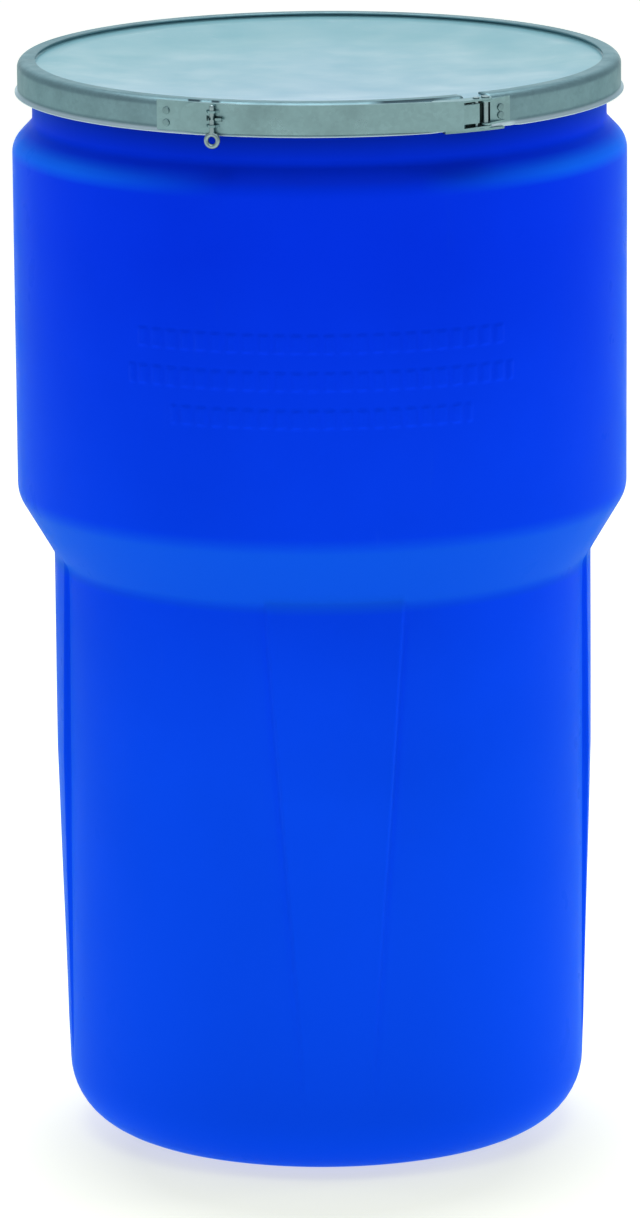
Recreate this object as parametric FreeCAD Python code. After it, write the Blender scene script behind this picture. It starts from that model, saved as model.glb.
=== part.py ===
"""Stepped, nestable open-head plastic drum with a pressed lid and a lever-lock closing ring.

Millimetres, +Z up. The origin is the centre of the base on the floor. An azimuth is in degrees
from -Y, the drum's front, positive towards +X. Each piece is one STEP file in parts/.
"""
import FreeCAD, Part
import math
import os

ORIGIN = FreeCAD.Vector(0, 0, 0)
UP = FreeCAD.Vector(0, 0, 1)

# Drum body: overall sizes
WALL = 3.2
BASE_RADIUS = 160.8
BASE_CORNER = 42.0
BASE_RECESS = 5.0
RECESS_RADIUS = 98.0
FOOT_RADIUS = 110.0
STEP_LOW_RADIUS = 164.9
STEP_LOW_Z = 363.9
STEP_LOW_FILLET = 12.0
STEP_HIGH_RADIUS = 189.4
STEP_HIGH_Z = 405.0
STEP_HIGH_FILLET = 20.0
UPPER_RADIUS = 190.0
SHOULDER_LOW_Z = 623.8
SHOULDER_HIGH_Z = 637.0
NECK_RADIUS = 177.4
BEAD_RADIUS = 182.0
BEAD_LOW_Z = 657.8
RIM_Z = 669.2

# Four raised nesting panels on the tapered lower wall
PANEL_CENTRES = (2.5, 92.5, 182.5, 272.5)
PANEL_RADIUS = 167.0
PANEL_FOOT_RADIUS = 161.2
PANEL_LOW_Z = 44.0
PANEL_FULL_Z = 242.0
PANEL_HIGH_Z = 368.0
PANEL_HALF_LOW = 19.6
PANEL_HALF_HIGH = 42.8
PANEL_BEVEL = 2.5

# Lid: one pressing of even thickness, and the gasket in its rim channel
LID_SHEET = 1.2
LID_RADIUS = 183.6
LID_SKIRT_Z = 664.0
LID_TOP_Z = 674.2
LID_LAND_Z = 673.0
LID_CHANNEL_INNER = 176.4
LID_DISH_RADIUS = 161.0
LID_FLOOR_RADIUS = 112.0
LID_FLOOR_Z = 668.0
GASKET_INNER = 176.9
GASKET_OUTER = 181.6
GASKET_GAP = 0.05

# Closing ring: a C-section band, split at the front right
BAND_SHEET = 1.5
BAND_RADIUS = 186.3
BAND_LOW_Z = 656.0
BAND_HIGH_Z = 676.0
BAND_TOP_INNER = 175.0
BAND_FOOT_INNER = 178.6
BAND_LEFT_END = 27.9
BAND_RIGHT_END = 33.1

# Closure: shared levels, from the middle height of the lever
PLATE_OUTER = BAND_RADIUS + BAND_SHEET
CLOSURE_MID_Z = 666.3
LEVER_HALF_HEIGHT = 9.0
EAR_SHEET = 1.2
LEVEL_GAP = 0.2
EAR_LEVEL = LEVER_HALF_HEIGHT - EAR_SHEET - LEVEL_GAP
LINK_HALF_HEIGHT = 6.0

# Plates riveted to the band: where they end, the tongue under the gap and the plate behind it
LINK_PLATE_START = 23.7
TONGUE_END = 36.3
TONGUE_HEIGHT = 1.4
TONGUE_DEPTH = 3.9
GAP_PLATE_SHEET = 0.8
GAP_PLATE_CLEARANCE = 0.2
LEVER_PLATE_END = 37.6
KEEPER_START = -31.3
KEEPER_END = -15.5

# Lever and its two pins
LEVER_INNER = 188.0
LEVER_SHEET = 1.5
LEVER_TIP_AZ = -23.4
LEVER_STRAIGHT_AZ = 9.5
LEVER_STRAIGHT = 56.2
FLANGE_START = 37.0
FLANGE_TIP_DEPTH = 3.5
FLANGE_HEEL = 46.0
PIVOT_AZ = 31.5
PIVOT_RADIUS = 190.4
PIVOT_PIN = 1.8
PIVOT_EYE = 3.8
BRACKET_EYE = 3.4
LINK_PIN_AZ = 29.4
LINK_PIN_RADIUS = 191.3
LINK_PIN = 1.25
LINK_EYE = 2.3
RUNNING_GAP = 0.05
PIN_HEAD_RIM = 0.8
PIN_HEAD_HEIGHT = 0.7

# Catch pin under the lever, and the link's hook
CATCH_AZ = 25.3
CATCH_RADIUS = 190.2
CATCH_PIN = 1.5
CATCH_EYE = 2.7
HOOK_GAP = 0.6
LINK_SHEET = 1.8
LINK_BEND = 4.0
HOOK_LEG = 0.7

# Keeper and locking clip
CLIP_AZ = -19.6
CLIP_RADIUS = 191.7
CLIP_WIRE = 1.5
CLIP_TOP_Z = 674.8
CLIP_EYE_Z = 653.2
CLIP_EYE_RADIUS = 3.65
STAPLE_LEVEL = 4.3
STAPLE_HALF_SPAN = 5.0
STAPLE_TAPER = 0.45
STAPLE_HEIGHT = 1.4
STAPLE_REACH = 4.6
STAPLE_RIM = 1.2
LUG_SHEET = 1.5
LUG_HALF_WIDTH = 4.0
LUG_REACH = 7.6
NOTCH_GAP = 0.4
SLOT_GAP = 0.8

# Rivets: shank, round head on the plate, and a flat tail inside the band
RIVET_RADIUS = 1.4
RIVET_HEAD = 2.3
RIVET_HEAD_HEIGHT = 0.9
RIVET_HEAD_FILLET = 0.6
RIVET_TAIL = 2.0
RIVET_TAIL_HEIGHT = 0.7
RIVET_PLACES = {
    "link_bracket_rivets": (27.1, (662.95, 667.65)),
    "lever_bracket_rivets": (35.4, (662.95, 667.65)),
    "keeper_rivets": (-29.3, (661.6, 669.0)),
}


def spot(radius, azimuth, z=0.0):
    """Point at a radius and azimuth."""
    turn = math.radians(azimuth)
    return FreeCAD.Vector(radius * math.sin(turn), -radius * math.cos(turn), z)


def rounded_face(corners):
    """Closed face in the XZ plane from (radius, z, fillet) corners, each rounded by its fillet."""
    count = len(corners)
    spots = [FreeCAD.Vector(corner[0], 0, corner[1]) for corner in corners]
    starts, middles, ends = [], [], []
    for index, (_, _, fillet) in enumerate(corners):
        here = spots[index]
        back = (spots[index - 1] - here).normalize()
        ahead = (spots[(index + 1) % count] - here).normalize()
        half = back.getAngle(ahead) / 2
        reach = fillet / math.tan(half) if fillet else 0.0
        starts.append(here + back * reach)
        ends.append(here + ahead * reach)
        inward = back + ahead
        bulge = fillet / math.sin(half) - fillet if fillet else 0.0
        middles.append(here + inward.normalize() * bulge if fillet else here)
    edges = []
    for index, (_, _, fillet) in enumerate(corners):
        if fillet:
            edges.append(Part.Arc(starts[index], middles[index], ends[index]).toShape())
        following = starts[(index + 1) % count]
        if (following - ends[index]).Length > 1e-6:
            edges.append(Part.LineSegment(ends[index], following).toShape())
    return Part.Face(Part.Wire(edges))


def offset_corners(corners, distance):
    """The same open run of corners moved sideways, to its left, by a distance."""
    spots = [FreeCAD.Vector(corner[0], 0, corner[1]) for corner in corners]
    sides = []
    for first, second in zip(spots, spots[1:]):
        along = (second - first).normalize()
        sides.append((first, along, FreeCAD.Vector(-along.z, 0, along.x)))
    moved = []
    for index, (radius, z, fillet) in enumerate(corners):
        before = sides[max(index - 1, 0)]
        after = sides[min(index, len(sides) - 1)]
        bisector = before[2] + after[2]
        shift = bisector * (2 * distance / bisector.dot(bisector))
        turn = before[1].cross(after[1]).y
        grown = fillet + distance if turn > 0 else fillet - distance
        moved.append((radius + shift.x, z + shift.z, max(grown, 0.5) if fillet else 0.0))
    return moved


def full_turn(face):
    """Solid of revolution about the drum's axis."""
    return face.revolve(ORIGIN, UP, 360)


def sweep_face(face, azimuth_from, azimuth_to):
    """Part of a turn of a radial face, between two azimuths."""
    placed = face.copy()
    placed.rotate(ORIGIN, UP, azimuth_from - 90)
    return placed.revolve(ORIGIN, UP, azimuth_to - azimuth_from)


def sector(inner, outer, low, high, azimuth_from, azimuth_to):
    """Block with a ring-shaped plan between two azimuths."""
    square = [(inner, low, 0), (outer, low, 0), (outer, high, 0), (inner, high, 0)]
    return sweep_face(rounded_face(square), azimuth_from, azimuth_to)


def post(radius, azimuth, size, low, high):
    """Upright round bar at a radius and azimuth."""
    return Part.makeCylinder(size, high - low, spot(radius, azimuth, low), UP)


def plan_plate(points, low, high):
    """Plate with a plan outline given as points, between two levels."""
    outline = [FreeCAD.Vector(point.x, point.y, low) for point in points]
    face = Part.Face(Part.makePolygon(outline + outline[:1]))
    return face.extrude(FreeCAD.Vector(0, 0, high - low))


def rivets(azimuth, levels):
    """Round-headed rivets through the band and the plate on its face, one solid each."""
    solids = []
    outward = spot(1.0, azimuth)
    tail_face = BAND_RADIUS - BAND_SHEET - RUNNING_GAP
    tail_start = tail_face - RIVET_TAIL_HEIGHT
    length = PLATE_OUTER - tail_start
    for level in levels:
        shank = Part.makeCylinder(RIVET_RADIUS, length, spot(tail_start, azimuth, level), outward)
        tail = Part.makeCylinder(RIVET_TAIL, RIVET_TAIL_HEIGHT, spot(tail_start, azimuth, level), outward)
        head = Part.makeCylinder(RIVET_HEAD, RIVET_HEAD_HEIGHT, spot(PLATE_OUTER, azimuth, level), outward)
        rim = [edge for edge in head.Edges if on_far_rim(edge, head, outward)]
        solids.append(shank.fuse([tail, head.makeFillet(RIVET_HEAD_FILLET, rim)]).removeSplitter())
    return solids


def on_far_rim(edge, solid, outward):
    """True for a circular edge on the face furthest outward."""
    reach = max(vertex.Point.dot(outward) for vertex in solid.Vertexes)
    return edge.Closed and abs(edge.CenterOfMass.dot(outward) - reach) < 1e-3


def rivet_holes(azimuth, levels):
    """Cutters for the rivets' shanks."""
    outward = spot(1.0, azimuth)
    start = BAND_RADIUS - 3 * BAND_SHEET
    length = 6 * BAND_SHEET
    return [Part.makeCylinder(RIVET_RADIUS, length, spot(start, azimuth, level), outward) for level in levels]


def drum_outline():
    """Outer corners of the drum from the base's middle up to the top of the rim bead."""
    return [
        (0.0, BASE_RECESS, 0),
        (RECESS_RADIUS, BASE_RECESS, 6),
        (FOOT_RADIUS, 0.0, 6),
        (BASE_RADIUS, 0.0, BASE_CORNER),
        (STEP_LOW_RADIUS, STEP_LOW_Z, STEP_LOW_FILLET),
        (STEP_HIGH_RADIUS, STEP_HIGH_Z, STEP_HIGH_FILLET),
        (UPPER_RADIUS, SHOULDER_LOW_Z, 14),
        (NECK_RADIUS, SHOULDER_HIGH_Z, 8),
        (NECK_RADIUS, RIM_Z, 0),
    ]


def make_panel(azimuth):
    """One raised nesting panel: a tapered patch with bevelled sides that thins to nothing at its foot."""
    deep = PANEL_FOOT_RADIUS - 2 * WALL + 6
    profile = [
        (deep, PANEL_LOW_Z, 0),
        (PANEL_FOOT_RADIUS, PANEL_LOW_Z, 0),
        (PANEL_RADIUS, PANEL_FULL_Z, 300),
        (PANEL_RADIUS, PANEL_HIGH_Z, 0),
        (deep, PANEL_HIGH_Z, 0),
    ]
    patch = sweep_face(rounded_face(profile), -20, 20)
    wires = []
    for depth, extra in ((PANEL_RADIUS - 12, 12 * 0.9), (PANEL_RADIUS + PANEL_BEVEL, -PANEL_BEVEL)):
        low = PANEL_HALF_LOW + extra
        high = PANEL_HALF_HIGH + extra
        outline = [
            FreeCAD.Vector(-low, -depth, PANEL_LOW_Z - 1),
            FreeCAD.Vector(low, -depth, PANEL_LOW_Z - 1),
            FreeCAD.Vector(high, -depth, PANEL_HIGH_Z + 1),
            FreeCAD.Vector(-high, -depth, PANEL_HIGH_Z + 1),
        ]
        wires.append(Part.makePolygon(outline + outline[:1]))
    patch = patch.common(Part.makeLoft(wires, True, True))
    patch.rotate(ORIGIN, UP, azimuth)
    return patch


def make_drum_body():
    """Hollow moulding: even wall, stepped and necked, with a solid rim bead and four panels."""
    outer = drum_outline()
    inner = offset_corners(outer, WALL)
    inner[0] = (0.0, BASE_RECESS + WALL, 0)
    shell = full_turn(rounded_face(outer + list(reversed(inner))))
    bead_corners = [
        (NECK_RADIUS - WALL, BEAD_LOW_Z - 4, 0),
        (NECK_RADIUS, BEAD_LOW_Z - 4, 0),
        (NECK_RADIUS, BEAD_LOW_Z, 1.5),
        (BEAD_RADIUS, BEAD_LOW_Z + 1.2, 2),
        (BEAD_RADIUS, RIM_Z, 3),
        (NECK_RADIUS - WALL, RIM_Z, 1.5),
    ]
    shell = shell.fuse(full_turn(rounded_face(bead_corners)))
    shell = shell.fuse([make_panel(azimuth) for azimuth in PANEL_CENTRES])
    return shell.removeSplitter()


def make_lid():
    """Pressed lid: turned-down skirt, gasket channel, flat land and shallow dish."""
    top = [
        (LID_RADIUS, LID_SKIRT_Z, 0),
        (LID_RADIUS, LID_TOP_Z, 3.0),
        (LID_CHANNEL_INNER, LID_TOP_Z, 1.3),
        (LID_CHANNEL_INNER - 1.2, LID_LAND_Z, 1.3),
        (LID_DISH_RADIUS, LID_LAND_Z, 30),
        (LID_FLOOR_RADIUS, LID_FLOOR_Z, 300),
        (0.0, LID_FLOOR_Z, 0),
    ]
    under = offset_corners(top, LID_SHEET)
    under[-1] = (0.0, LID_FLOOR_Z - LID_SHEET, 0)
    return full_turn(rounded_face(top + list(reversed(under))))


def make_gasket():
    """Flat rubber ring between the lid's channel and the drum's rim."""
    low = RIM_Z + GASKET_GAP
    high = LID_TOP_Z - LID_SHEET
    corners = [
        (GASKET_INNER, low, 0.8),
        (GASKET_OUTER, low, 0.8),
        (GASKET_OUTER, high, 1.0),
        (GASKET_INNER, high, 0.4),
    ]
    return full_turn(rounded_face(corners))


def make_band():
    """C-section hoop with a gap between its two ends, and holes for the rivets."""
    corners = [
        (BAND_FOOT_INNER, BAND_LOW_Z, 0),
        (BAND_RADIUS, BAND_LOW_Z, 3.0),
        (BAND_RADIUS, BAND_HIGH_Z, 5.0),
        (BAND_TOP_INNER, BAND_HIGH_Z, 0),
        (BAND_TOP_INNER, BAND_HIGH_Z - BAND_SHEET, 0),
        (BAND_RADIUS - BAND_SHEET, BAND_HIGH_Z - BAND_SHEET, 3.5),
        (BAND_RADIUS - BAND_SHEET, BAND_LOW_Z + BAND_SHEET, 1.5),
        (BAND_FOOT_INNER, BAND_LOW_Z + BAND_SHEET, 0),
    ]
    hoop = sweep_face(rounded_face(corners), BAND_RIGHT_END, BAND_LEFT_END + 360)
    cutters = [cutter for azimuth, levels in RIVET_PLACES.values() for cutter in rivet_holes(azimuth, levels)]
    return hoop.cut(cutters)


def ear_pair(azimuth, radius, size, root, across, hole):
    """Two flat ears, top and bottom, rounded about a pin, that grow from a plate on the band."""
    centre = spot(radius, azimuth)
    points = [root[0], root[1], centre + across * size, centre - across * size]
    solids = []
    for low in (CLOSURE_MID_Z + EAR_LEVEL - EAR_SHEET, CLOSURE_MID_Z - EAR_LEVEL):
        high = low + EAR_SHEET
        tab = plan_plate(points, low, high).fuse(post(radius, azimuth, size, low, high))
        solids.append(tab.cut(post(radius, azimuth, hole, low - 1, high + 1)))
    return solids


def clear_of_band(solid):
    """Trim a piece so that it only touches the band's outer face."""
    return solid.cut(Part.makeCylinder(BAND_RADIUS, 60, FreeCAD.Vector(0, 0, CLOSURE_MID_Z - 30), UP))


def make_link_bracket():
    """Plate on the left band end with ears for the catch pin, a tongue and a plate across the gap."""
    tongue_high = BAND_LOW_Z - LEVEL_GAP
    low = tongue_high - TONGUE_HEIGHT
    high = CLOSURE_MID_Z + EAR_LEVEL
    plate = sector(BAND_RADIUS, PLATE_OUTER, low, high, LINK_PLATE_START, BAND_LEFT_END)
    root_radius = BAND_RADIUS + RUNNING_GAP
    root = [spot(root_radius, LINK_PLATE_START), spot(root_radius, CATCH_AZ + 0.6)]
    ears = ear_pair(CATCH_AZ, CATCH_RADIUS, CATCH_EYE, root, spot(1.0, CATCH_AZ + 90), CATCH_PIN)
    body = clear_of_band(plate.fuse(ears))
    inner = PLATE_OUTER - TONGUE_DEPTH
    tongue = sector(inner, PLATE_OUTER, low, tongue_high, LINK_PLATE_START, TONGUE_END)
    gap_start = BAND_LEFT_END + GAP_PLATE_CLEARANCE
    gap_end = BAND_RIGHT_END - GAP_PLATE_CLEARANCE
    backing = sector(inner, inner + GAP_PLATE_SHEET, low, high, gap_start, gap_end)
    body = body.fuse([tongue, backing])
    return body.cut(rivet_holes(*RIVET_PLACES["link_bracket_rivets"])).removeSplitter()


def make_lever_bracket():
    """Plate on the right band end with two ears that hold the lever's pivot pin in the gap."""
    low = CLOSURE_MID_Z - EAR_LEVEL
    high = CLOSURE_MID_Z + EAR_LEVEL
    plate = sector(BAND_RADIUS, PLATE_OUTER, low, high, BAND_RIGHT_END, LEVER_PLATE_END)
    root = [spot(BAND_RADIUS - 1, BAND_RIGHT_END), spot(PLATE_OUTER, LEVER_PLATE_END - 1)]
    ears = ear_pair(PIVOT_AZ, PIVOT_RADIUS, BRACKET_EYE, root, spot(1.0, PIVOT_AZ), PIVOT_PIN)
    body = clear_of_band(plate.fuse(ears))
    return body.cut(rivet_holes(*RIVET_PLACES["lever_bracket_rivets"])).removeSplitter()


def headed_pin(radius, azimuth, size, half_length):
    """Upright pin about the closure's middle height, with a flat head at each end."""
    low = CLOSURE_MID_Z - half_length
    high = CLOSURE_MID_Z + half_length
    foot = post(radius, azimuth, size + PIN_HEAD_RIM, low - PIN_HEAD_HEIGHT, low)
    top = post(radius, azimuth, size + PIN_HEAD_RIM, high, high + PIN_HEAD_HEIGHT)
    return post(radius, azimuth, size, low, high).fuse([foot, top]).removeSplitter()


def make_catch_pin():
    """Plain pin, flush with the outsides of the link bracket's ears so that the lever closes over it."""
    low = CLOSURE_MID_Z - EAR_LEVEL
    high = CLOSURE_MID_Z + EAR_LEVEL
    return post(CATCH_RADIUS, CATCH_AZ, CATCH_PIN, low, high)


def on_lever(run, outward, z):
    """Point at a distance along the lever's straight part and a distance out from the drum's axis."""
    along = spot(1.0, LEVER_STRAIGHT_AZ + 90)
    return along * run + spot(1.0, LEVER_STRAIGHT_AZ) * outward + UP * z


def lever_flanges(low, high):
    """Flat flanges at the top and bottom of the lever, which reach past its web to the pivot pin."""
    outer = LEVER_INNER + LEVER_SHEET
    turn = math.radians(PIVOT_AZ - LEVER_STRAIGHT_AZ)
    pivot_run = PIVOT_RADIUS * math.sin(turn)
    pivot_out = PIVOT_RADIUS * math.cos(turn)
    outline = [
        (FLANGE_START, outer),
        (LEVER_STRAIGHT, outer),
        (pivot_run + PIVOT_EYE * 0.5, pivot_out + PIVOT_EYE * 0.866),
        (pivot_run, pivot_out - PIVOT_EYE),
        (FLANGE_HEEL, pivot_out),
        (FLANGE_START, outer - FLANGE_TIP_DEPTH),
    ]
    points = [on_lever(run, outward, 0) for run, outward in outline]
    flanges = []
    for level in (low, high - EAR_SHEET):
        flange = plan_plate(points, level, level + EAR_SHEET)
        flange = flange.cut(Part.makeCylinder(LEVER_INNER, 4, UP * (level - 1), UP))
        flanges.append(flange.fuse(post(PIVOT_RADIUS, PIVOT_AZ, PIVOT_EYE, level, level + EAR_SHEET)))
    return flanges


def make_lever():
    """Lever: curved strap with a rounded tip, then a straight channel whose flanges hold two pins."""
    low = CLOSURE_MID_Z - LEVER_HALF_HEIGHT
    high = CLOSURE_MID_Z + LEVER_HALF_HEIGHT
    outer = LEVER_INNER + LEVER_SHEET
    bend = sector(LEVER_INNER, outer, low, high, LEVER_TIP_AZ, LEVER_STRAIGHT_AZ)
    tip_spot = spot(LEVER_INNER - 2, LEVER_TIP_AZ, CLOSURE_MID_Z)
    tip = Part.makeCylinder(LEVER_HALF_HEIGHT, 6, tip_spot, spot(1.0, LEVER_TIP_AZ))
    tip = tip.common(sector(LEVER_INNER, outer, low, high, LEVER_TIP_AZ - 4, LEVER_TIP_AZ))
    web = Part.makeBox(LEVER_STRAIGHT, LEVER_SHEET, high - low, FreeCAD.Vector(0, -outer, low))
    web.rotate(ORIGIN, UP, LEVER_STRAIGHT_AZ)
    body = bend.fuse([web, tip] + lever_flanges(low, high) + make_staples())
    cutters = [
        post(PIVOT_RADIUS, PIVOT_AZ, PIVOT_PIN + RUNNING_GAP, low - 1, high + 1),
        post(LINK_PIN_RADIUS, LINK_PIN_AZ, LINK_PIN, low - 1, high + 1),
        post(CLIP_RADIUS, CLIP_AZ, CLIP_WIRE + RUNNING_GAP, low, high),
        lug_block(LUG_HALF_WIDTH + SLOT_GAP, LUG_SHEET / 2 + SLOT_GAP, 12),
    ]
    return body.cut(cutters).removeSplitter()


def make_staples():
    """Two small loops pressed out of the lever's tip, above and below the slot, for the clip."""
    solids = []
    root_radius = LEVER_INNER + LEVER_SHEET / 4
    top_radius = LEVER_INNER + STAPLE_REACH
    half = math.degrees(STAPLE_HALF_SPAN / root_radius)
    points = [spot(root_radius, CLIP_AZ + half * share) for share in (-1, 1)]
    points += [spot(top_radius, CLIP_AZ + half * share) for share in (STAPLE_TAPER, -STAPLE_TAPER)]
    for level in (CLOSURE_MID_Z + STAPLE_LEVEL, CLOSURE_MID_Z - STAPLE_LEVEL):
        low = level - STAPLE_HEIGHT / 2
        high = level + STAPLE_HEIGHT / 2
        ring = post(CLIP_RADIUS, CLIP_AZ, CLIP_WIRE + STAPLE_RIM, low, high)
        solids.append(plan_plate(points, low, high).fuse(ring))
    return solids


def lug_block(half_width, half_height, reach):
    """Block that stands straight forward from the band at the clip's azimuth."""
    start = spot(BAND_RADIUS + 0.6, CLIP_AZ)
    corner = FreeCAD.Vector(start.x - half_width, start.y - reach, CLOSURE_MID_Z - half_height)
    return Part.makeBox(2 * half_width, reach + 2, 2 * half_height, corner)


def make_keeper():
    """Strap on the band under the lever's tip, with a lug that stands out through the tip's slot."""
    low = CLOSURE_MID_Z - LEVER_HALF_HEIGHT
    high = CLOSURE_MID_Z + LEVER_HALF_HEIGHT
    strap = sector(BAND_RADIUS, PLATE_OUTER, low, high, KEEPER_START, KEEPER_END)
    lug = clear_of_band(lug_block(LUG_HALF_WIDTH, LUG_SHEET / 2, LUG_REACH))
    clip = spot(CLIP_RADIUS, CLIP_AZ)
    half_width = CLIP_WIRE + NOTCH_GAP
    notch_low = CLOSURE_MID_Z - LUG_SHEET
    notch = post(CLIP_RADIUS, CLIP_AZ, half_width, notch_low, notch_low + 2 * LUG_SHEET)
    corner = FreeCAD.Vector(clip.x - half_width, clip.y - 12, notch_low)
    way_out = Part.makeBox(2 * half_width, 12, 2 * LUG_SHEET, corner)
    body = strap.fuse(lug).cut([notch, way_out])
    return body.cut(rivet_holes(*RIVET_PLACES["keeper_rivets"])).removeSplitter()


def make_toggle_link():
    """Link from the lever's pin to the catch pin, with a hooked end that bears on its far side."""
    low = CLOSURE_MID_Z - LINK_HALF_HEIGHT
    high = CLOSURE_MID_Z + LINK_HALF_HEIGHT
    eye = spot(LINK_PIN_RADIUS, LINK_PIN_AZ)
    catch = spot(CATCH_RADIUS, CATCH_AZ)
    along = (catch - eye).normalize()
    outward = FreeCAD.Vector(-along.y, along.x, 0)
    span = (catch - eye).Length
    near = CATCH_PIN + HOOK_GAP
    far = near + LINK_SHEET
    half = math.sqrt(0.5)

    def at(run, rise):
        return catch + along * run + outward * rise + UP * low

    leg = [at(near, 0), at(near, -HOOK_LEG), at(far, -HOOK_LEG), at(far, 0)]
    crest = [
        at(0, far),
        at(-LINK_BEND, far),
        at(-span, LINK_EYE),
        at(-span, LINK_EYE - LINK_SHEET),
        at(-LINK_BEND, near),
        at(0, near),
    ]
    edges = [Part.LineSegment(*ends).toShape() for ends in zip(leg, leg[1:])]
    edges.append(Part.Arc(leg[-1], at(far * half, far * half), crest[0]).toShape())
    edges += [Part.LineSegment(*ends).toShape() for ends in zip(crest, crest[1:])]
    edges.append(Part.Arc(crest[-1], at(near * half, near * half), leg[0]).toShape())
    bar = Part.Face(Part.Wire(edges)).extrude(UP * (high - low))
    bar = bar.fuse(post(LINK_PIN_RADIUS, LINK_PIN_AZ, LINK_EYE, low, high))
    bore = post(LINK_PIN_RADIUS, LINK_PIN_AZ, LINK_PIN + RUNNING_GAP, low - 1, high + 1)
    return bar.cut(bore).removeSplitter()


def make_clip():
    """Straight locking pin with a pull eye at its lower end."""
    eye_top = CLIP_EYE_Z + CLIP_EYE_RADIUS
    pin = post(CLIP_RADIUS, CLIP_AZ, CLIP_WIRE, eye_top, CLIP_TOP_Z - CLIP_WIRE)
    nose = Part.makeSphere(CLIP_WIRE, spot(CLIP_RADIUS, CLIP_AZ, CLIP_TOP_Z - CLIP_WIRE))
    eye_centre = spot(CLIP_RADIUS, CLIP_AZ, CLIP_EYE_Z)
    eye = Part.makeTorus(CLIP_EYE_RADIUS, CLIP_WIRE, eye_centre, spot(1.0, CLIP_AZ))
    return pin.fuse([nose, eye]).removeSplitter()


def save(name, shape):
    """Write one named piece, or a group of separate identical pieces, after a validity test."""
    group = Part.makeCompound(shape) if isinstance(shape, list) else shape
    if not group.isValid():
        raise RuntimeError(name + " is not a valid shape")
    group.exportStep("parts/" + name + ".step")
    box = group.BoundBox
    print(name, len(group.Solids), "solid(s)", round(group.Volume / 1000, 2), "cm3",
          [round(value, 1) for value in (box.XMin, box.YMin, box.ZMin, box.XMax, box.YMax, box.ZMax)])


os.makedirs("parts", exist_ok=True)
save("drum_body", make_drum_body())
save("lid", make_lid())
save("lid_gasket", make_gasket())
save("ring_band", make_band())
save("link_bracket", make_link_bracket())
save("lever_bracket", make_lever_bracket())
save("catch_pin", make_catch_pin())
save("keeper", make_keeper())
for node, (place_azimuth, place_levels) in RIVET_PLACES.items():
    save(node, rivets(place_azimuth, place_levels))
save("lever_pivot_pin", headed_pin(PIVOT_RADIUS, PIVOT_AZ, PIVOT_PIN, LEVER_HALF_HEIGHT))
save("lever", make_lever())
save("link_pin", headed_pin(LINK_PIN_RADIUS, LINK_PIN_AZ, LINK_PIN, LEVER_HALF_HEIGHT))
save("toggle_link", make_toggle_link())
save("locking_clip", make_clip())
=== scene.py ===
"""Looks of the open-head nestable drum: moulded blue body, enamelled lid and zinc closing ring.

Metres, in the CAD frame: the origin is the centre of the base on the floor, +Z is up and -Y is the
front. An azimuth is in degrees from -Y, positive towards +X. Outlines and the sizes of pieces are in
millimetres, and an outline is a row of (radius, height, fillet) corners.
"""
import math

import bmesh
import bpy
import numpy as np
from mathutils import Matrix, Vector, noise


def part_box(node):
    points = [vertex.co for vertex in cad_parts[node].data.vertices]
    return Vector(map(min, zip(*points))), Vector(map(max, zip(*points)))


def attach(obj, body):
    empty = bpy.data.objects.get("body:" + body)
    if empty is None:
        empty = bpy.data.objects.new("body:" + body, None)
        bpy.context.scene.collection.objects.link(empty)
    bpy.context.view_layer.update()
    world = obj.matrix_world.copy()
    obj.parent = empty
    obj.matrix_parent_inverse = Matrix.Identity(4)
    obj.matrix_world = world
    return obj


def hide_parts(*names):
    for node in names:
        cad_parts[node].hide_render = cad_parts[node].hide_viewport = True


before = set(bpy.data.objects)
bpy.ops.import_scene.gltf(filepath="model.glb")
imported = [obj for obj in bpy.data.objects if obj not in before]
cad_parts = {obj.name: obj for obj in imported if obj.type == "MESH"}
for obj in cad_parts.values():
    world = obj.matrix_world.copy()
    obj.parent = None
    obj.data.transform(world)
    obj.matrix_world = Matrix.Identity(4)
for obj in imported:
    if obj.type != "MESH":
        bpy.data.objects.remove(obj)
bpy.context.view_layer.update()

MM = 0.001

# Drum body: its outline runs up the outside from the middle of the base
WALL = 3.2
BODY_RADIUS = 190.0
NECK_RADIUS = 177.4
BEAD_RADIUS = 182.0
BEAD_LOW = 657.8
RIM = 669.2
WALL_OUTLINE = (
    (0.0, 5.0, 0),
    (98.0, 5.0, 6),
    (110.0, 0.0, 6),
    (160.8, 0.0, 42),
    (164.9, 363.9, 12),
    (189.4, 405.0, 20),
    (BODY_RADIUS, 623.8, 14),
    (NECK_RADIUS, 637.0, 8),
    (NECK_RADIUS, BEAD_LOW - 4, 0),
)
BEAD_OUTLINE = (
    (NECK_RADIUS, BEAD_LOW - 4, 0),
    (NECK_RADIUS, BEAD_LOW, 1.5),
    (BEAD_RADIUS, BEAD_LOW + 1.2, 2),
    (BEAD_RADIUS, RIM, 3),
    (NECK_RADIUS - WALL, RIM, 1.5),
    (NECK_RADIUS - WALL, BEAD_LOW, 0),
)
BODY_GAP = 3.0
INSIDE_STEP = 3

# Degrees between the points of a fillet's arc
ARC_TURN = 7

# Degrees between the body's columns: in general, at the panels' side creases, and at the front
COLUMN_TURN = 1.0
CREASE_TURN = 0.35
FRONT_TURN = 0.36
CREASE_ZONE = (5.5, 17.0)

# Slow unevenness of the wall, and the heights between which it comes and goes
RIPPLE_DEPTH = 0.16
RIPPLES_ROUND = 2.6
RIPPLE_TALL = 70.0
RIPPLE_RISE = (20.0, 60.0)
RIPPLE_FALL = (640.0, 620.0)

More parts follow.
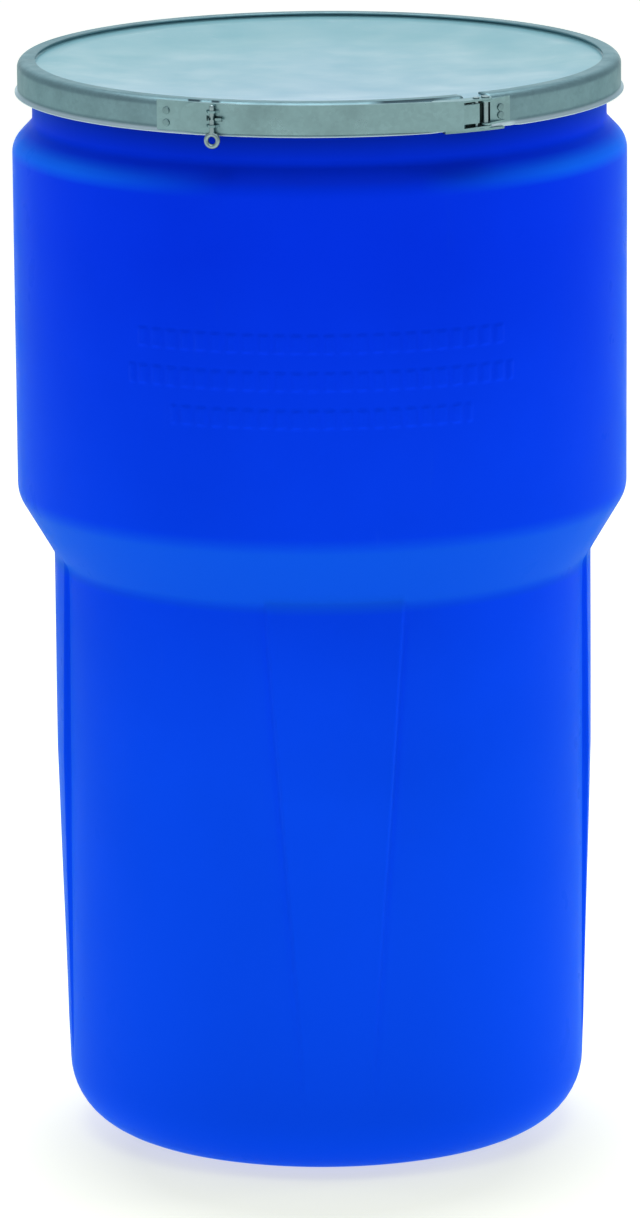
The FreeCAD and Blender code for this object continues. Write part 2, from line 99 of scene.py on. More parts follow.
# Raised nesting panels, each with a shallow groove along its sides
PANEL_CENTRES = (2.5, 92.5, 182.5, 272.5)
PANEL_RADIUS = 167.0
PANEL_FOOT_RADIUS = 161.2
PANEL_LOW = 44.0
PANEL_FULL = 242.0
PANEL_HIGH = 368.0
PANEL_HALF_LOW = 19.6
PANEL_HALF_HIGH = 42.8
PANEL_EDGE = 2.6
PANEL_BLEND = 0.8
PANEL_RISE = (38.0, 68.0)
PANEL_FALL = (386.0, 364.0)
GROOVE_AWAY = 2.4
GROOVE_HALF = 1.3
GROOVE_DEPTH = 0.45
GROOVE_RISE = (44.0, 64.0)
GROOVE_FALL = (360.0, 340.0)

# Rows of equal plain raised blocks on the front of the upper wall: level, half length in degrees
BLOCK_ROWS = ((530.0, 36.0), (507.0, 37.5), (484.0, 28.5))
BLOCK_HALF = 5.5
BLOCK_TURN = 3.0
BLOCK_WIDE = 1.9
BLOCK_RISE = 0.7
BLOCK_EDGE = 1.6
BLOCK_ZONE = (472.0, 542.0)

# Lid
LID_SHEET = 1.2
LID_COLUMNS = 300
LID_GAP = 4.0
LID_OUTLINE = (
    (183.6, 664.0, 0),
    (183.6, 674.2, 3.0),
    (176.4, 674.2, 1.3),
    (175.2, 673.0, 1.3),
    (161.0, 673.0, 30),
    (112.0, 668.0, 300),
    (0.0, 668.0, 0),
)

# Closing ring: its ends are azimuths, and its lip is left out behind the closure
BAND_LEFT_END = 27.9
BAND_RIGHT_END = 33.1
BAND_COLUMNS = 420
BAND_GAP = 3.0
BAND_SHEET = 1.5
BAND_RADIUS = 186.3
BAND_LOWER_LEG = 178.6
BAND_UPPER_LEG = 175.0
BAND_LIP = 1.6
LIP_ENDS = (21.5, 22.5)
LIP_STARTS = (40.0, 39.0)

# Edges rounded on copies of the CAD pieces
SHARP_ANGLE = 35.0
FLAT_ANGLE = 0.5
PLATE_EDGE = 0.25
LEVER_EDGE = 0.3
PIN_EDGE = 0.15
WIRE_EDGE = 0.1


def rounded(corners, gap, closed=False):
    """Points along an outline of (radius, height, fillet) corners: arcs, and points a gap apart on runs."""
    spots = [Vector((corner[0], corner[1])) for corner in corners]
    count = len(spots)
    points = []
    for index, (_, _, fillet) in enumerate(corners):
        here = spots[index]
        is_end = not closed and index in (0, count - 1)
        if is_end or not fillet:
            arc = [here]
        else:
            arc = fillet_arc(spots[index - 1], here, spots[(index + 1) % count], fillet)
        if points:
            points += run_points(points[-1], arc[0], gap)
        points += arc
    if closed:
        points += run_points(points[-1], points[0], gap)
    return np.array([(point.x, point.y) for point in points])


def fillet_arc(before, here, after, fillet):
    """Points of the tangent arc that rounds one corner."""
    back = (before - here).normalized()
    ahead = (after - here).normalized()
    half = back.angle(ahead) / 2
    reach = fillet / math.tan(half)
    centre = here + (back + ahead).normalized() * (fillet / math.sin(half))
    start = here + back * reach - centre
    stop = here + ahead * reach - centre
    turn = start.angle_signed(stop)
    steps = max(2, math.ceil(abs(math.degrees(turn)) / ARC_TURN))
    return [centre + Matrix.Rotation(-turn * step / steps, 2) @ start for step in range(steps + 1)]


def run_points(start, stop, gap):
    """Points between two ends, without the ends, no further apart than the gap."""
    steps = max(1, math.ceil((stop - start).length / gap))
    return [start.lerp(stop, step / steps) for step in range(1, steps)]


def moved_inward(points, distance):
    """An open outline moved to its left, which is inward for an outline that runs up the outside."""
    along = np.gradient(points, axis=0)
    along /= np.linalg.norm(along, axis=1, keepdims=True)
    return points + distance * np.stack([-along[:, 1], along[:, 0]], axis=1)


def fade(values, start, stop):
    """0 before start, 1 past stop and a soft curve between; it falls where start is the larger."""
    held = np.clip((values - start) / (stop - start), 0.0, 1.0)
    return held * held * (3 - 2 * held)


def edge(distance, width):
    """1 inside a border and 0 outside it, with a soft edge: the distance is positive inside."""
    return fade(distance, -width / 2, width / 2)


def grid_object(name, radii, levels, azimuths, loop_rows, loop_columns):
    """Mesh of a grid: radii is rows by columns, levels and azimuths are one per row and per column."""
    rows, columns = radii.shape
    turn = np.radians(azimuths)
    heights = np.broadcast_to(levels[:, None], radii.shape)
    cloud = np.stack([radii * np.sin(turn), -radii * np.cos(turn), heights], axis=2).reshape(-1, 3) * MM
    faces = []
    for row in range(rows if loop_rows else rows - 1):
        next_row = (row + 1) % rows
        for column in range(columns if loop_columns else columns - 1):
            next_column = (column + 1) % columns
            faces.append((row * columns + column, row * columns + next_column,
                          next_row * columns + next_column, next_row * columns + column))
    if not loop_columns:
        faces.append([row * columns for row in range(rows)])
        faces.append([row * columns + columns - 1 for row in reversed(range(rows))])
    return mesh_object(name, cloud.tolist(), faces)


def mesh_object(name, points, faces):
    """Smooth-shaded mesh object with merged points and outward faces."""
    mesh = bpy.data.meshes.new(name)
    mesh.from_pydata(points, [], faces)
    piece = bpy.data.objects.new(name, mesh)
    bpy.context.scene.collection.objects.link(piece)
    work = bmesh.new()
    work.from_mesh(mesh)
    bmesh.ops.remove_doubles(work, verts=work.verts, dist=1e-6)
    bmesh.ops.recalc_face_normals(work, faces=work.faces)
    work.to_mesh(mesh)
    work.free()
    mesh.shade_smooth()
    return piece


def finish_piece(piece, body, slot, material, *nodes):
    """Material, body and the CAD nodes that the piece stands for; slot is not used."""
    piece.data.materials.clear()
    piece.data.materials.append(material)
    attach(piece, body)
    if nodes:
        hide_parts(*nodes)
    return piece


# ---------------------------------------------------------------- pieces


def body_azimuths():
    """Azimuths of the drum's columns, closer together at the front and at the panels' side creases."""
    inner, outer = CREASE_ZONE
    steps = []
    for start, stop, turn in ((-45, -outer, COLUMN_TURN), (-outer, -inner, CREASE_TURN),
                              (-inner, inner, COLUMN_TURN), (inner, outer, CREASE_TURN),
                              (outer, 45, COLUMN_TURN)):
        steps.append(np.linspace(start, stop, math.ceil((stop - start) / turn), endpoint=False))
    quarter = np.concatenate(steps)
    front = np.arange(-45, 45, FRONT_TURN) + PANEL_CENTRES[0]
    return np.concatenate([front] + [quarter + centre for centre in PANEL_CENTRES[1:]])


def panel_rise(radii, levels, azimuths):
    """How far the four nesting panels stand out of the wall, with a shallow groove along their sides."""
    full = (levels - PANEL_LOW) / (PANEL_FULL - PANEL_LOW)
    target = PANEL_FOOT_RADIUS + (PANEL_RADIUS - PANEL_FOOT_RADIUS) * np.minimum(full, 1.0)
    over = target - radii
    rise = 0.5 * (over + np.sqrt(over * over + PANEL_BLEND))
    rise = rise * fade(levels, *PANEL_RISE) * fade(levels, *PANEL_FALL)
    height = (levels - PANEL_LOW) / (PANEL_HIGH - PANEL_LOW)
    half = PANEL_HALF_LOW + (PANEL_HALF_HIGH - PANEL_HALF_LOW) * height
    grooved = fade(levels, *GROOVE_RISE) * fade(levels, *GROOVE_FALL)
    total = np.zeros((len(levels), len(azimuths)))
    for centre in PANEL_CENTRES:
        away = np.abs((azimuths - centre + 180) % 360 - 180)
        across = np.radians(away)[None, :] * radii[:, None]
        total += rise[:, None] * edge(half[:, None] - across, PANEL_EDGE)
        beside = (across - half[:, None] - GROOVE_AWAY) / GROOVE_HALF
        total -= GROOVE_DEPTH * np.exp(-beside * beside) * grooved[:, None]
    return total


def block_rise(levels, azimuths):
    """Rows of equal plain raised blocks across the front of the upper wall."""
    away = np.abs((azimuths + 180) % 360 - 180)
    from_middle = np.abs(azimuths % BLOCK_TURN - BLOCK_TURN / 2)
    apart = edge(np.radians(BLOCK_WIDE / 2 - from_middle) * BODY_RADIUS, BLOCK_EDGE)
    total = np.zeros((len(levels), len(azimuths)))
    for level, half_turn in BLOCK_ROWS:
        tall = edge(BLOCK_HALF - np.abs(levels - level), BLOCK_EDGE)
        total += BLOCK_RISE * tall[:, None] * (apart * (away < half_turn))[None, :]
    return total


def with_block_rows(points):
    """An outline with two more points in each of its steps over the rows of blocks."""
    low, high = BLOCK_ZONE
    made = [points[0]]
    for before, after in zip(points[:-1], points[1:]):
        if low < before[1] < high:
            made += [before + (after - before) / 3, before + (after - before) * 2 / 3]
        made.append(after)
    return np.array(made)


def wall_ripple(levels, azimuths):
    """Slow unevenness of a blow-moulded wall, without the base and the rim."""
    ripple = np.zeros((len(levels), len(azimuths)))
    for row, level in enumerate(levels):
        for column, azimuth in enumerate(np.radians(azimuths)):
            spot = Vector((math.sin(azimuth) * RIPPLES_ROUND, math.cos(azimuth) * RIPPLES_ROUND,
                           level / RIPPLE_TALL))
            ripple[row, column] = noise.noise(spot)
    faces_out = fade(levels, *RIPPLE_RISE) * fade(levels, *RIPPLE_FALL)
    return ripple * RIPPLE_DEPTH * faces_out[:, None]


def make_drum_body(material):
    """Hollow moulding with its panels, rows of blocks and rim bead, as one closed surface."""
    wall = with_block_rows(rounded(WALL_OUTLINE, BODY_GAP)[1:])
    bead = rounded(BEAD_OUTLINE, BODY_GAP)[1:]
    azimuths = body_azimuths()
    relief = panel_rise(wall[:, 0], wall[:, 1], azimuths)
    skin = relief + block_rise(wall[:, 1], azimuths) + wall_ripple(wall[:, 1], azimuths)
    inside = moved_inward(wall, WALL)
    downward = slice(None, None, -INSIDE_STEP)
    outline = np.concatenate([wall, bead, inside[downward]])
    rise = np.concatenate([skin, np.zeros((len(bead), len(azimuths))), relief[downward]])
    body = grid_object("drum_shell", outline[:, :1] + rise, outline[:, 1], azimuths, False, True)
    close_poles(body)
    return finish_piece(body, "drum", "body_plastic", material, "drum_body")


def close_poles(piece):
    """Fill the two small round holes where a full turn's first and last rows meet the axis."""
    work = bmesh.new()
    work.from_mesh(piece.data)
    rims = [border for border in work.edges if border.is_boundary]
    bmesh.ops.holes_fill(work, edges=rims, sides=0)
    caps = [face for face in work.faces if len(face.verts) > 4]
    bmesh.ops.poke(work, faces=caps)
    bmesh.ops.recalc_face_normals(work, faces=work.faces)
    work.to_mesh(piece.data)
    work.free()
    piece.data.shade_smooth()


def make_lid(material):
    """Pressed lid with its skirt, gasket channel, land and shallow dish."""
    top = rounded(LID_OUTLINE, LID_GAP)[:-1]
    outline = np.concatenate([top[::-1], moved_inward(top, LID_SHEET)])
    azimuths = np.arange(LID_COLUMNS) * 360 / LID_COLUMNS
    radii = np.repeat(outline[:, :1], len(azimuths), axis=1)
    lid = grid_object("lid_pressing", radii, outline[:, 1], azimuths, False, True)
    close_poles(lid)
    return finish_piece(lid, "lid_body", "lid_enamel", material, "lid")


def make_band(material):
    """C-section hoop, split at the front right, with a thin turned-out lip along its lower edge."""
    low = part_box("ring_band")[0].z / MM
    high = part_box("ring_band")[1].z / MM
    inner = BAND_RADIUS - BAND_SHEET
    section = rounded([
        (BAND_LOWER_LEG, low, 0.5),
        (BAND_RADIUS, low - 0.5, 0),
        (BAND_RADIUS, low + 0.1, 0),
        (BAND_RADIUS, low + 1.6, 0),
        (BAND_RADIUS, high, 5.0),
        (BAND_UPPER_LEG, high, 0.7),
        (BAND_UPPER_LEG, high - BAND_SHEET, 0.7),
        (inner, high - BAND_SHEET, 3.5),
        (inner, low + BAND_SHEET, 1.5),
        (BAND_LOWER_LEG, low + BAND_SHEET, 0.5),
    ], BAND_GAP, closed=True)
    azimuths = np.linspace(BAND_RIGHT_END, BAND_LEFT_END + 360, BAND_COLUMNS)
    radii = np.repeat(section[:, :1], len(azimuths), axis=1)
    lip = (section[:, 1] < low + 0.2) * (section[:, 0] > BAND_RADIUS - 0.1)
    around = (azimuths + 180) % 360 - 180
    free = 1 - fade(around, *LIP_ENDS) * fade(around, *LIP_STARTS)
    radii = radii + BAND_LIP * lip[:, None] * free[None, :]
    band = grid_object("band_hoop", radii, section[:, 1], azimuths, True, False)
    return finish_piece(band, "ring", "band_zinc", material, "ring_band")


def softened(node, body, slot, material, width):
    """A copy of a CAD node with its sharp edges rounded by a small bevel, which stands for the node."""
    piece = bpy.data.objects.new(node + "_soft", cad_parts[node].data.copy())
    bpy.context.scene.collection.objects.link(piece)
    work = bmesh.new()
    work.from_mesh(piece.data)
    bmesh.ops.remove_doubles(work, verts=work.verts, dist=2e-6)
    bmesh.ops.dissolve_limit(work, angle_limit=math.radians(FLAT_ANGLE), verts=work.verts, edges=work.edges)
    limit = math.radians(SHARP_ANGLE)
    sharp = [border for border in work.edges
             if len(border.link_faces) == 2 and border.calc_face_angle(0) > limit]
    bmesh.ops.bevel(work, geom=sharp, offset=width * MM, segments=2, profile=0.6, affect="EDGES",
                    clamp_overlap=True)
    bmesh.ops.recalc_face_normals(work, faces=work.faces)
    work.to_mesh(piece.data)
    work.free()
    piece.data.shade_smooth()
    weighted = piece.modifiers.new("weighted", "WEIGHTED_NORMAL")
    weighted.weight = 80
    return finish_piece(piece, body, slot, material, node)


# ---------------------------------------------------------------- materials


# Body colours, scene-linear; a pair is the two ends of the mottling.
# Apart from the mottling these are painted light and shade: the upper pair is darker than the lower as
# painted shade, the foot lighter as painted light, the step retinted, painted shade under the ring and
# painted highlights on the shoulder's sides.
BODY_LOWER = ((0.0010, 0.062, 0.87, 1.0), (0.0015, 0.067, 0.93, 1.0))
BODY_UPPER = ((0.0004, 0.030, 0.82, 1.0), (0.0007, 0.034, 0.88, 1.0))
BODY_FOOT_LIGHT = (0.0016, 0.073, 1.0, 1.0)
BODY_STEP = (0.003, 0.080, 0.74, 1.0)
BODY_NECK_SHADE = (0.0016, 0.012, 0.22, 1.0)
SHOULDER_HIGHLIGHT = (0.006, 0.17, 1.0, 1.0)
BODY_SHEEN = (0.12, 0.64, 0.80, 1.0)

# Heights in metres over which one body colour gives way to another, placing the painted light and shade
UPPER_STARTS = (0.24, 0.58)
FOOT_ENDS = (0.02, 0.26)
STEP_STARTS = (0.358, 0.366)
STEP_ENDS = (0.400, 0.410)
NECK_STARTS = (0.638, 0.652)
SHOULDER_STARTS = (0.617, 0.6235)
SHOULDER_ENDS = (0.627, 0.633)

# Zinc shades, as display values of 0 to 255
ZINC_BAND = (114, 144, 152)
ZINC_LEVER = (128, 158, 162)
ZINC_BRIGHT = (140, 160, 164)
ZINC_RIVET = (118, 146, 150)
ZINC_TINT = (0.66, 0.76, 0.78, 1.0)
# The last three are painted light and shade: a highlight along the band's lip, shade inside the brackets,
# and the shadow on the band's upper rounding
LIP_HIGHLIGHT = (186, 206, 218)
INSIDE_SHADE = (34, 46, 46)
SHELF_SHADOW = (44, 60, 67)

# Metres: where the painted shade of the brackets' insides and the band's painted lip highlight begin, and
# where the painted shadow lies on the upper rounding
INSIDE_ENDS = (0.1852, 0.1862)
LIP_TOP = (0.6572, 0.6586)
SHADOW_RUNS = ((0.0290, 0.0880, 0.010), (-0.0790, -0.0700, 0.001), (-0.0650, -0.0585, 0.001))
SHADOW_FRONT = (-0.06, -0.02)
SHADOW_ABOVE = (0.667, 0.669)
SHADOW_STARTS = (0.1817, 0.1827)
SHADOW_ENDS = (0.1842, 0.1866)


class Surface:
    """A Principled material with object coordinates and short ways to add nodes to it."""

    def __init__(self, name, **values):
        self.material = bpy.data.materials.new(name)
        self.material.use_nodes = True
        self.tree = self.material.node_tree
        self.shader = self.tree.nodes["Principled BSDF"]
        self.place = self.node("ShaderNodeTexCoord").outputs["Object"]
        for key, value in values.items():
            self.shader.inputs[key.replace("_", " ")].default_value = value

    def node(self, kind, **settings):
        made = self.tree.nodes.new(kind)
        for key, value in settings.items():
            setattr(made, key, value)
        return made

    def link(self, start, end):
        self.tree.links.new(start, end)

    def set(self, name, output):
        self.link(output, self.shader.inputs[name])

    def feed(self, socket, value):
        """Link an output to a socket, or give the socket a plain value."""
        if isinstance(value, bpy.types.NodeSocket):
            self.link(value, socket)
        else:
            socket.default_value = value

    def axes(self):
        """Outputs of the X, Y and Z coordinates."""
        made = self.node("ShaderNodeSeparateXYZ")
        self.link(self.place, made.inputs["Vector"])
        return made.outputs["X"], made.outputs["Y"], made.outputs["Z"]

    def stretched(self, scale):
        """Coordinates scaled differently along each axis."""
        mapping = self.node("ShaderNodeMapping")
        mapping.inputs["Scale"].default_value = scale
        self.link(self.place, mapping.inputs["Vector"])
        return mapping.outputs["Vector"]

    def length(self, vector):
        made = self.node("ShaderNodeVectorMath", operation="LENGTH")
        self.link(vector, made.inputs[0])
        return made.outputs["Value"]

    def radius(self):
        """Distance from the drum's upright axis."""
        return self.length(self.stretched((1.0, 1.0, 0.0)))

    def noise(self, scale, detail=3.0, roughness=0.5, place=None):
        made = self.node("ShaderNodeTexNoise")
        made.inputs["Scale"].default_value = scale
        made.inputs["Detail"].default_value = detail
        made.inputs["Roughness"].default_value = roughness
        self.link(place or self.place, made.inputs["Vector"])
        return made.outputs["Fac"]

    def cells(self, scale):
        made = self.node("ShaderNodeTexVoronoi")
        made.inputs["Scale"].default_value = scale
        self.link(self.place, made.inputs["Vector"])
        return made.outputs["Color"]

    def spread(self, value, low, high, to_low=0.0, to_high=1.0):
        """A value moved from one range to another, held at its ends."""
        made = self.node("ShaderNodeMapRange")
        self.link(value, made.inputs["Value"])
        for name, number in zip(("From Min", "From Max", "To Min", "To Max"), (low, high, to_low, to_high)):
            made.inputs[name].default_value = number
        return made.outputs["Result"]

    def falling(self, value, low, high):
        """1 below low, 0 above high."""
        return self.spread(value, low, high, 1.0, 0.0)

    def between(self, value, starts, ends):
        """1 from the start to the end of a zone, each of which is given as the range of its change."""
        return self.reckon("MULTIPLY", self.spread(value, *starts), self.falling(value, *ends))

    def reckon(self, operation, *values):
        """Result of a math operation on outputs."""
        made = self.node("ShaderNodeMath", operation=operation)
        for socket, value in zip(made.inputs, values):
            self.link(value, socket)
        return made.outputs["Value"]

    def mix(self, factor, first, second):
        """Colour between two colours or outputs."""
        made = self.node("ShaderNodeMix", data_type="RGBA")
        for name, value in (("Factor", factor), ("A", first), ("B", second)):
            self.feed(made.inputs[name], value)
        return made.outputs["Result"]

    def bump(self, height, distance, strength=1.0, under=None):
        made = self.node("ShaderNodeBump")
        made.inputs["Strength"].default_value = strength
        made.inputs["Distance"].default_value = distance
        self.link(height, made.inputs["Height"])
        if under:
            self.link(under, made.inputs["Normal"])
        self.set("Normal", made.outputs["Normal"])
        return made.outputs["Normal"]


def colour(red, green, blue):
    """Scene-linear colour from display values of 0 to 255."""
    def linear(value):
        part = value / 255
        return part / 12.92 if part <= 0.04045 else ((part + 0.055) / 1.055) ** 2.4
    return (linear(red), linear(green), linear(blue), 1.0)


def body_plastic():
    """Blue polyethylene with faint mottling, a fine moulded grain and a few scuffs, and painted light and
    shade on its wall, step, neck and shoulder.
    """
    surface = Surface("moulded_blue", Sheen_Weight=0.30, Sheen_Roughness=0.35, Sheen_Tint=BODY_SHEEN)
    sideways, _, height = surface.axes()
    mottle = surface.spread(surface.noise(7.0, 4.0), 0.35, 0.65)
    lower = surface.mix(mottle, *BODY_LOWER)
    upper = surface.mix(mottle, *BODY_UPPER)
    # Painted shade: the upper wall darker than the lower
    base = surface.mix(surface.spread(height, *UPPER_STARTS), lower, upper)
    # Painted light: lighter towards the foot
    base = surface.mix(surface.falling(height, *FOOT_ENDS), base, BODY_FOOT_LIGHT)
    # Painted shading on the step cone: less blue and more green, set for how light falls there
    base = surface.mix(surface.between(height, STEP_STARTS, STEP_ENDS), base, BODY_STEP)
    # Painted shade under the ring
    base = surface.mix(surface.spread(height, *NECK_STARTS, 0.0, 0.70), base, BODY_NECK_SHADE)
    # Painted highlights on the shoulder's two sides
    shoulder = surface.between(height, SHOULDER_STARTS, SHOULDER_ENDS)
    flank = surface.spread(surface.reckon("ABSOLUTE", sideways), 0.06, 0.15, 0.0, 0.65)
    base = surface.mix(surface.reckon("MULTIPLY", shoulder, flank), base, SHOULDER_HIGHLIGHT)
    facing = surface.node("ShaderNodeLayerWeight")
    facing.inputs["Blend"].default_value = 0.5
    surface.set("Specular IOR Level", surface.spread(facing.outputs["Facing"], 0.2, 0.8, 0.006, 0.0013))
    scuff_place = surface.stretched((55.0, 55.0, 4.0))
    scuff = surface.spread(surface.noise(3.0, 6.0, 0.62, scuff_place), 0.66, 0.78, 0.0, 0.06)
    surface.set("Base Color", surface.mix(scuff, base, colour(60, 120, 245)))
    surface.set("Roughness", surface.spread(surface.noise(38.0, 3.0), 0.3, 0.7, 0.26, 0.4))
    grain = surface.bump(surface.noise(1100.0, 2.0), 0.00008, 0.35)
    surface.bump(surface.noise(16.0, 2.0), 0.0006, 0.25, grain)
    return surface.material


def lid_enamel():
    """Pale blue-grey satin enamel with orange peel, painted shade darker towards the back and the sides, and
    faint handling marks.
    """
    surface = Surface("lid_enamel", Specular_IOR_Level=0.12)
    sideways, back, _ = surface.axes()
    # Painted shade: darker towards the back and the sides, broken up by noise
    cloud = surface.spread(surface.noise(6.0, 4.0), 0.2, 0.8, -0.05, 0.05)
    shifted = surface.reckon("ADD", back, surface.reckon("ABSOLUTE", sideways))
    far_shade = surface.spread(surface.reckon("ADD", shifted, cloud), -0.14, 0.15)
    base = surface.mix(far_shade, colour(147, 187, 207), colour(128, 180, 192))
    marks = surface.spread(surface.noise(26.0, 8.0, 0.7), 0.60, 0.76, 0.0, 0.35)
    surface.set("Base Color", surface.mix(marks, base, colour(168, 199, 212)))
    surface.set("Roughness", surface.spread(surface.noise(30.0, 5.0), 0.3, 0.7, 0.30, 0.46))
    surface.bump(surface.noise(420.0, 2.0), 0.0001, 0.3)
    return surface.material


def zinc(name, shade, rough, dark_inside=False, is_band=False):
    """Galvanised steel: rolling lines, small crystals and dull patches, with painted shade where pieces
    stand close.

    The band also has a painted highlight along its lower lip.
    """
    surface = Surface(name, Metallic=1.0, Specular_Tint=ZINC_TINT)
    crystals = surface.node("ShaderNodeRGBToBW")
    surface.link(surface.cells(420.0), crystals.inputs["Color"])
    light = colour(*[min(255, int(part * 1.10)) for part in shade])
    spangle = surface.spread(crystals.outputs["Val"], 0.0, 1.0, 0.0, 0.55)
    base = surface.mix(spangle, colour(*shade), light)
    dull = surface.spread(surface.noise(22.0, 6.0, 0.6), 0.5, 0.72, 0.0, 0.55)
    base = surface.mix(dull, base, colour(*[int(part * 0.84) for part in shade]))
    if dark_inside:
        # Painted shade on the brackets' insides
        base = surface.mix(surface.falling(surface.radius(), *INSIDE_ENDS), base, colour(*INSIDE_SHADE))
    if is_band:
        # Painted shadow in the gaps behind the lever and beside its tip
        base = surface.mix(painted_shelf_shadow(surface), base, colour(*SHELF_SHADOW))
        _, _, height = surface.axes()
        # Painted highlight along the band's lower lip
        base = surface.mix(surface.falling(height, *LIP_TOP), base, colour(*LIP_HIGHLIGHT))
    surface.set("Base Color", base)
    surface.set("Roughness", surface.spread(surface.noise(60.0, 4.0), 0.3, 0.7, rough - 0.06, rough + 0.1))
    lines = surface.noise(1.0, 2.0, 0.5, surface.stretched((14.0, 14.0, 2600.0)))
    surface.bump(lines, 0.00004, 0.4)
    return surface.material


def painted_shelf_shadow(surface):
    """1 on the ring's upper rounding where the lever stands off it, and in two short runs near the lever's
    tip: the painted shadow of those gaps.
    """
    sideways, back, height = surface.axes()
    runs = None
    for start, stop, soft in SHADOW_RUNS:
        run = surface.between(sideways, (start, start + soft), (stop - 2 * soft, stop))
        runs = surface.reckon("MAXIMUM", runs, run) if runs else run
    rounding = surface.between(surface.radius(), SHADOW_STARTS, SHADOW_ENDS)
    shelf = surface.reckon("MULTIPLY", surface.spread(height, *SHADOW_ABOVE), rounding)
    front = surface.falling(back, *SHADOW_FRONT)
    return surface.reckon("MULTIPLY", surface.reckon("MULTIPLY", runs, shelf), front)


def rubber():
    """Matt black gasket rubber."""
    surface = Surface("gasket_rubber", Roughness=0.8, Specular_IOR_Level=0.3)
    dust = surface.spread(surface.noise(60.0, 5.0), 0.45, 0.75)
    surface.set("Base Color", surface.mix(dust, colour(22, 22, 23), colour(48, 48, 50)))
    surface.bump(surface.noise(900.0, 2.0), 0.00008, 0.4)
    return surface.material


def floor_paint():
    """Plain pale floor, evenly bright, with a painted shadow round the foot of the drum where it glows less.
    """
    surface = Surface("pale_floor", Roughness=0.9, Specular_IOR_Level=0.0)
    tone = surface.spread(surface.noise(0.8, 2.0), 0.3, 0.7)
    surface.set("Base Color", surface.mix(tone, (0.40, 0.42, 0.24, 1.0), (0.43, 0.45, 0.27, 1.0)))
    shadow_place = surface.node("ShaderNodeMapping")
    shadow_place.inputs["Location"].default_value = (0.0, 0.064, 0.0)
    shadow_place.inputs["Scale"].default_value = (1.0, 0.8, 1.0)
    surface.link(surface.place, shadow_place.inputs["Vector"])
    away = surface.length(shadow_place.outputs["Vector"])
    surface.shader.inputs["Emission Color"].default_value = (0.98, 0.99, 1.0, 1.0)
    # Painted shadow: the floor glows less near the foot of the drum
    surface.set("Emission Strength", surface.spread(away, 0.12, 0.24, 0.62, 0.94))
    return surface.material


# ---------------------------------------------------------------- stage


CAMERA_DISTANCE = 5.639
CAMERA_HEIGHT = 1.560
CAMERA_PITCH = 12.34
CAMERA_YAW = 0.0205
CAMERA_ROLL = 0.45
CAMERA_LENS = 273.07

FLOOR_SIZE = 40.0
WORLD_COLOUR = (0.92, 0.98, 1.0, 1.0)
WORLD_STRENGTH = 0.22
WORLD_MIRRORED = 0.55

# Soft boxes: name, place, aim, size and power
LIGHTS = (
    ("top", (0.0, 0.1, 2.6), (0, 0.1, 0), (2.4, 2.4), 42.0),
    ("back", (0.0, 3.0, 1.3), (0, 0, 0.9), (3.0, 2.0), 16.0),
    ("front_low", (0.0, -0.72, 0.02), (0, -0.36, 0.9), (1.8, 0.9), 5.5),
    ("left", (-1.9, 0.5, 0.5), (0, 0, 0.35), (0.5, 1.2), 8.0),
    ("right", (1.9, 0.5, 0.5), (0, 0, 0.35), (0.5, 1.2), 13.0),
)
MIRRORED_LIGHTS = ("top", "back")


def make_camera():
    """Long lens in front of the drum, looking a little down on the lid."""
    data = bpy.data.cameras.new("camera")
    data.lens = CAMERA_LENS
    data.sensor_width = 36.0
    data.clip_end = 60.0
    camera = bpy.data.objects.new("camera", data)
    bpy.context.scene.collection.objects.link(camera)
    aim = Matrix.Rotation(math.radians(CAMERA_YAW), 4, "Z")
    tilt = Matrix.Rotation(math.radians(90 - CAMERA_PITCH), 4, "X")
    roll = Matrix.Rotation(math.radians(-CAMERA_ROLL), 4, "Z")
    camera.matrix_world = Matrix.Translation((0, -CAMERA_DISTANCE, CAMERA_HEIGHT)) @ aim @ tilt @ roll
    bpy.context.scene.camera = camera


def make_light(name, place, aim, size, power):
    """Soft box aimed at a point, which shows in reflections only if it is one of the mirrored lights."""
    data = bpy.data.lights.new(name, "AREA")
    data.shape = "RECTANGLE"
    data.size, data.size_y = size
    data.energy = power
    light = bpy.data.objects.new(name, data)
    bpy.context.scene.collection.objects.link(light)
    light.visible_camera = False
    light.visible_glossy = name in MIRRORED_LIGHTS
    light.location = place
    light.rotation_euler = (Vector(aim) - Vector(place)).to_track_quat("-Z", "Y").to_euler()


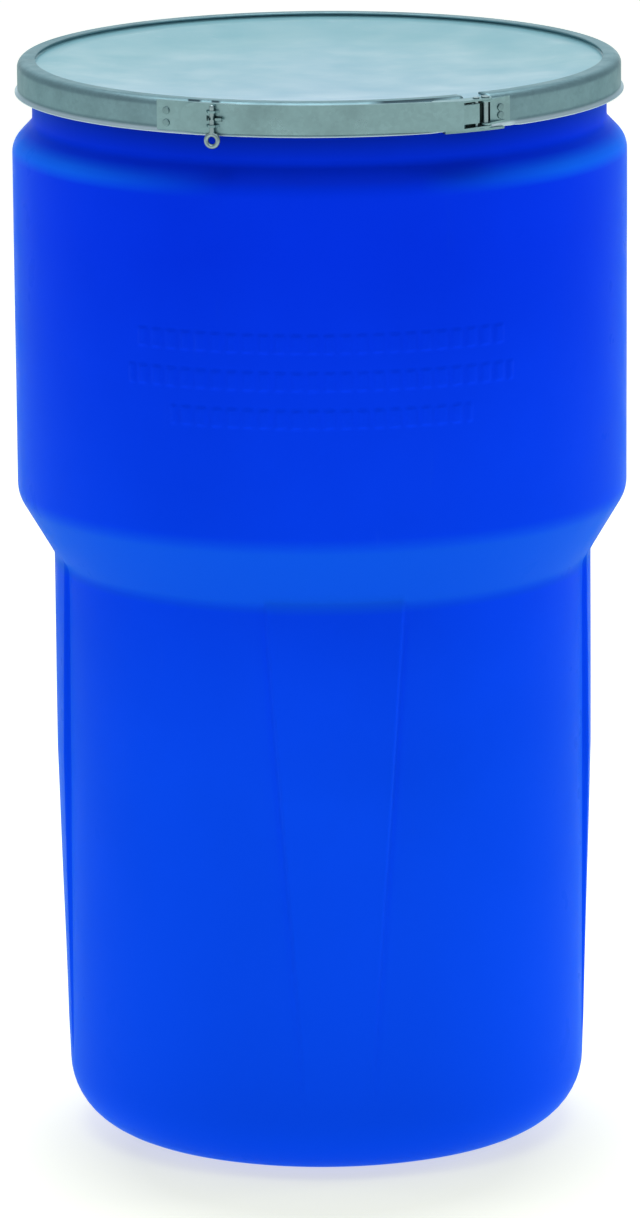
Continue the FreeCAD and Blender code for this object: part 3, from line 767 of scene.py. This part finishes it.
def make_stage():
    """Floor, even surrounding light that is stronger in reflections, and soft boxes."""
    bpy.ops.mesh.primitive_grid_add(x_subdivisions=8, y_subdivisions=8, size=FLOOR_SIZE)
    floor = bpy.context.active_object
    floor.name = "floor"
    floor.data.materials.append(floor_paint())
    world = bpy.data.worlds.new("surroundings")
    world.use_nodes = True
    background = world.node_tree.nodes["Background"]
    background.inputs["Color"].default_value = WORLD_COLOUR
    ray = world.node_tree.nodes.new("ShaderNodeLightPath")
    strength = world.node_tree.nodes.new("ShaderNodeMapRange")
    strength.inputs["To Min"].default_value = WORLD_STRENGTH
    strength.inputs["To Max"].default_value = WORLD_MIRRORED
    world.node_tree.links.new(ray.outputs["Is Glossy Ray"], strength.inputs["Value"])
    world.node_tree.links.new(strength.outputs["Result"], background.inputs["Strength"])
    bpy.context.scene.world = world
    for light in LIGHTS:
        make_light(*light)
    bpy.context.scene.view_settings.view_transform = "Standard"
    bpy.context.scene.view_settings.look = "None"


def build():
    """Every visible piece of the drum."""
    band_metal = zinc("band_zinc", ZINC_BAND, 0.42, is_band=True)
    lever_metal = zinc("lever_zinc", ZINC_LEVER, 0.32)
    closure_metal = zinc("closure_zinc", ZINC_LEVER, 0.36)
    bracket_metal = zinc("bracket_zinc", ZINC_LEVER, 0.40, dark_inside=True)
    rivet_metal = zinc("rivet_zinc", ZINC_RIVET, 0.40)
    bright_metal = zinc("bright_zinc", ZINC_BRIGHT, 0.30)
    make_drum_body(body_plastic())
    make_lid(lid_enamel())
    make_band(band_metal)
    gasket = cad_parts["lid_gasket"]
    gasket.data.materials.clear()
    gasket.data.materials.append(rubber())
    softened("link_bracket", "ring", "closure_zinc", bracket_metal, PLATE_EDGE)
    for node in ("lever_bracket", "keeper"):
        softened(node, "ring", "closure_zinc", closure_metal, PLATE_EDGE)
    for node in ("link_bracket_rivets", "lever_bracket_rivets", "keeper_rivets"):
        softened(node, "ring", "rivet_steel", rivet_metal, PIN_EDGE)
    for node in ("catch_pin", "lever_pivot_pin"):
        softened(node, "ring", "pin_steel", bright_metal, PIN_EDGE)
    softened("lever", "lever_body", "lever_zinc", lever_metal, LEVER_EDGE)
    softened("link_pin", "lever_body", "pin_steel", bright_metal, PIN_EDGE)
    softened("toggle_link", "link_body", "closure_zinc", closure_metal, PLATE_EDGE)
    softened("locking_clip", "clip_body", "pin_steel", bright_metal, WIRE_EDGE)


make_camera()
make_stage()
build()
